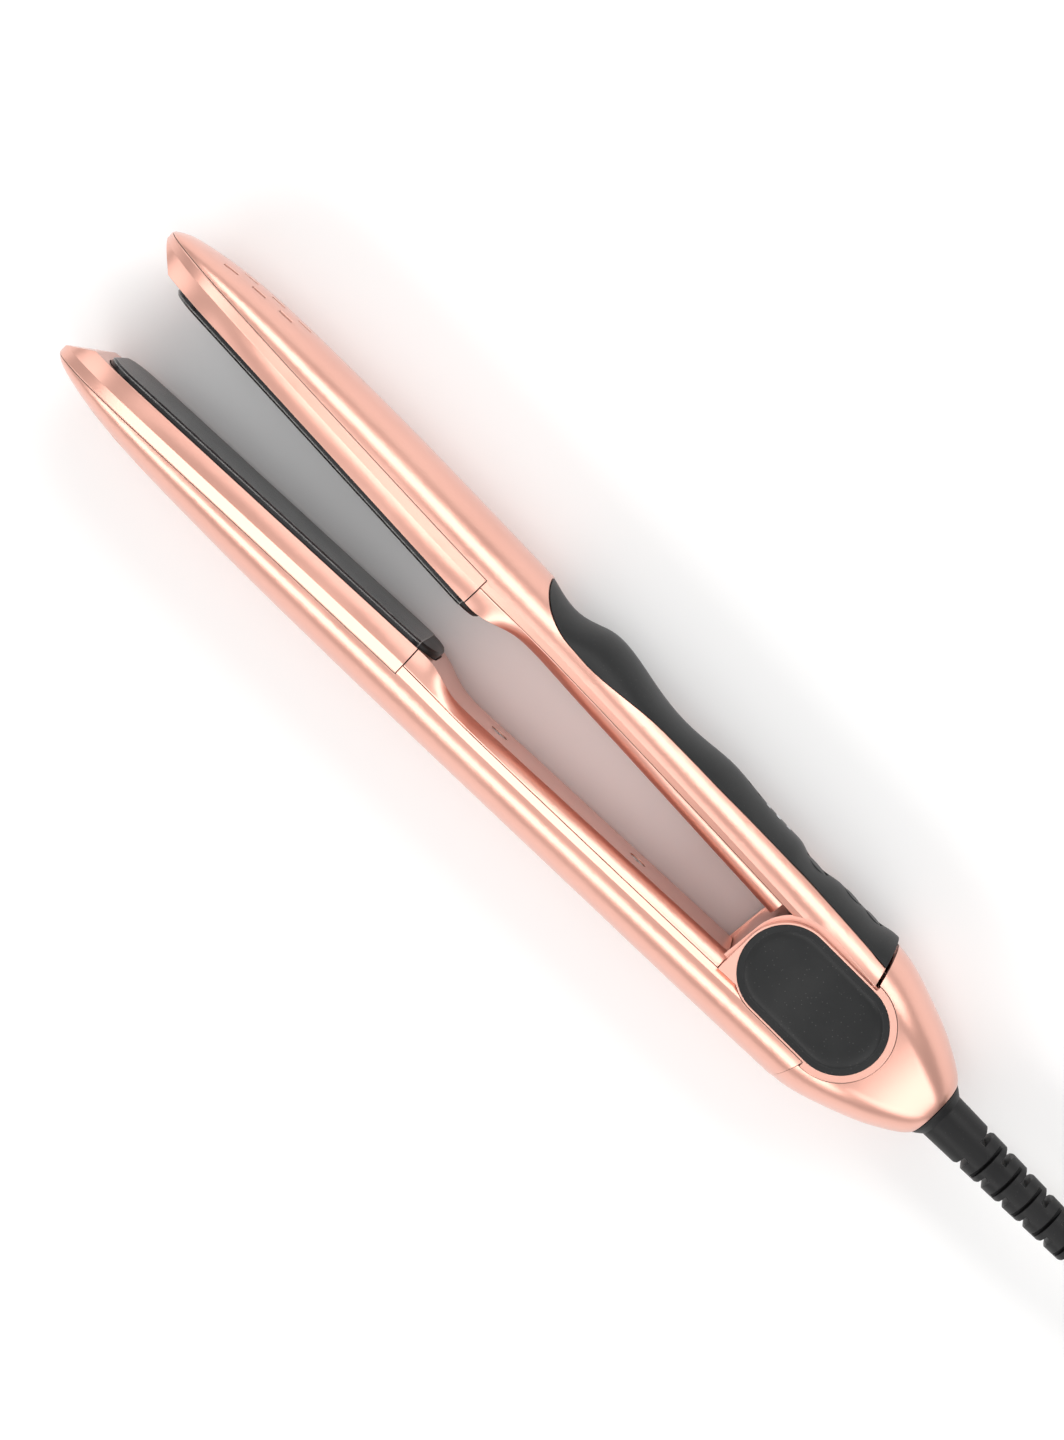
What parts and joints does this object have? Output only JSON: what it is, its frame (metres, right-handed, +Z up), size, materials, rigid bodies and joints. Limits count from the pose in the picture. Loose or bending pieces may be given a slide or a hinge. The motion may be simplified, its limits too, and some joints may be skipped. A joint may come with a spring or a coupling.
{
  "type": "flat iron",
  "caption": "Hair straightener with two sprung arms, floating heated plates, a soft grip with keys and a swivel cord with a ribbed strain relief, lying on its side.",
  "frame": {"origin": "on the resting surface, under the hinge pin, on the flat of the lower hinge pad", "axes": "+X along the tail towards the cord, with the tips towards -X; +Z up, along the hinge pin; +Y is the way the upper arm opens"},
  "size_m": [0.5744, 0.0639, 0.0328],
  "materials": {
    "rose_gold": "satin metallic rose-gold lacquer on moulded plastic",
    "soft_touch": "matte soft-touch black",
    "plate_ceramic": "polished aluminium with a glossy black ceramic coating",
    "black_plastic": "moulded heat-proof black plastic",
    "heater_ceramic": "bare ceramic heater",
    "spring_steel": "spring steel",
    "bright_steel": "plated steel",
    "contact_brass": "bare brass",
    "board_green": "green circuit board",
    "component_black": "moulded electronic parts",
    "lead_silicone": "white silicone insulation",
    "light_pipe": "frosted clear plastic",
    "cord_black": "black cord jacket"
  },
  "bodies": {
    "lower_arm": {"lower_shell": "rose_gold", "lower_plate_frame": "rose_gold", "lower_inner_cover": "rose_gold", "lower_heater_leads": "lead_silicone", "lower_spring_bar": "black_plastic", "lower_cover_screws": "spring_steel", "lower_plate_springs": "spring_steel", "hinge_hub": "rose_gold", "hinge_pad_top": "soft_touch", "hinge_pad_bottom": "soft_touch", "hinge_pin": "bright_steel", "hinge_washers": "contact_brass", "hinge_spring": "spring_steel", "tail_housing": "rose_gold", "swivel_contacts": "black_plastic", "cord_lead": "cord_black", "cord_end": "cord_black", "cord_hank": "cord_black", "cord_tie": "cord_black", "plug_sleeve": "cord_black", "plug_body": "cord_black", "plug_pins": "contact_brass"},
    "upper_arm": {"upper_shell": "rose_gold", "upper_plate_frame": "rose_gold", "upper_inner_cover": "rose_gold", "soft_grip": "soft_touch", "upper_heater_leads": "lead_silicone", "hinge_bracket": "spring_steel", "bracket_screws": "spring_steel", "control_board": "board_green", "board_parts": "component_black", "tact_switches": "component_black", "indicator_window": "light_pipe", "upper_spring_bar": "black_plastic", "upper_cover_screws": "spring_steel", "upper_plate_springs": "spring_steel"},
    "lower_plate_float": {"lower_plate": "plate_ceramic", "lower_plate_cap": "black_plastic", "lower_heater": "heater_ceramic", "lower_heater_clip": "spring_steel", "lower_thermistor": "component_black"},
    "upper_plate_float": {"upper_plate": "plate_ceramic", "upper_plate_cap": "black_plastic", "upper_heater": "heater_ceramic", "upper_heater_clip": "spring_steel", "upper_thermistor": "component_black"},
    "power_key": {"power_button": "soft_touch"},
    "temp_up_key": {"temp_up_button": "soft_touch"},
    "temp_down_key": {"temp_down_button": "soft_touch"},
    "cord_swivel": {"cord_boot": "cord_black", "swivel_head": "contact_brass"}
  },
  "joints": [
    {"name": "arm_hinge", "type": "hinge", "parent": "lower_arm", "child": "upper_arm", "pos_m": [0, 0, 0.0164], "axis": [0, 0, 1], "range_deg": [0, 5.15], "stiffness_Nm_per_rad": 0.7, "springref_deg": -20.05, "deforming": ["hinge_spring"]},
    {"name": "lower_plate_press", "type": "slide", "parent": "lower_arm", "child": "lower_plate_float", "axis": [0.0401, -0.9992, 0], "range_m": [0, 0.001], "stiffness_N_per_m": 3000, "springref_m": -0.0006, "deforming": ["lower_plate_springs"]},
    {"name": "upper_plate_press", "type": "slide", "parent": "upper_arm", "child": "upper_plate_float", "axis": [0.0497, 0.9988, 0], "range_m": [0, 0.001], "stiffness_N_per_m": 3000, "springref_m": -0.0006, "deforming": ["upper_plate_springs"]},
    {"name": "power_press", "type": "slide", "parent": "upper_arm", "child": "power_key", "axis": [-0.0497, -0.9988, 0], "range_m": [0, 0.0006], "stiffness_N_per_m": 1500, "springref_m": -0.0004},
    {"name": "temp_up_press", "type": "slide", "parent": "upper_arm", "child": "temp_up_key", "axis": [-0.0497, -0.9988, 0], "range_m": [0, 0.0006], "stiffness_N_per_m": 1500, "springref_m": -0.0004},
    {"name": "temp_down_press", "type": "slide", "parent": "upper_arm", "child": "temp_down_key", "axis": [-0.0497, -0.9988, 0], "range_m": [0, 0.0006], "stiffness_N_per_m": 1500, "springref_m": -0.0004},
    {"name": "cord_swivel_turn", "type": "hinge", "parent": "lower_arm", "child": "cord_swivel", "pos_m": [0.03, 0, 0.0164], "axis": [1, 0, 0], "continuous": true}
  ]
}
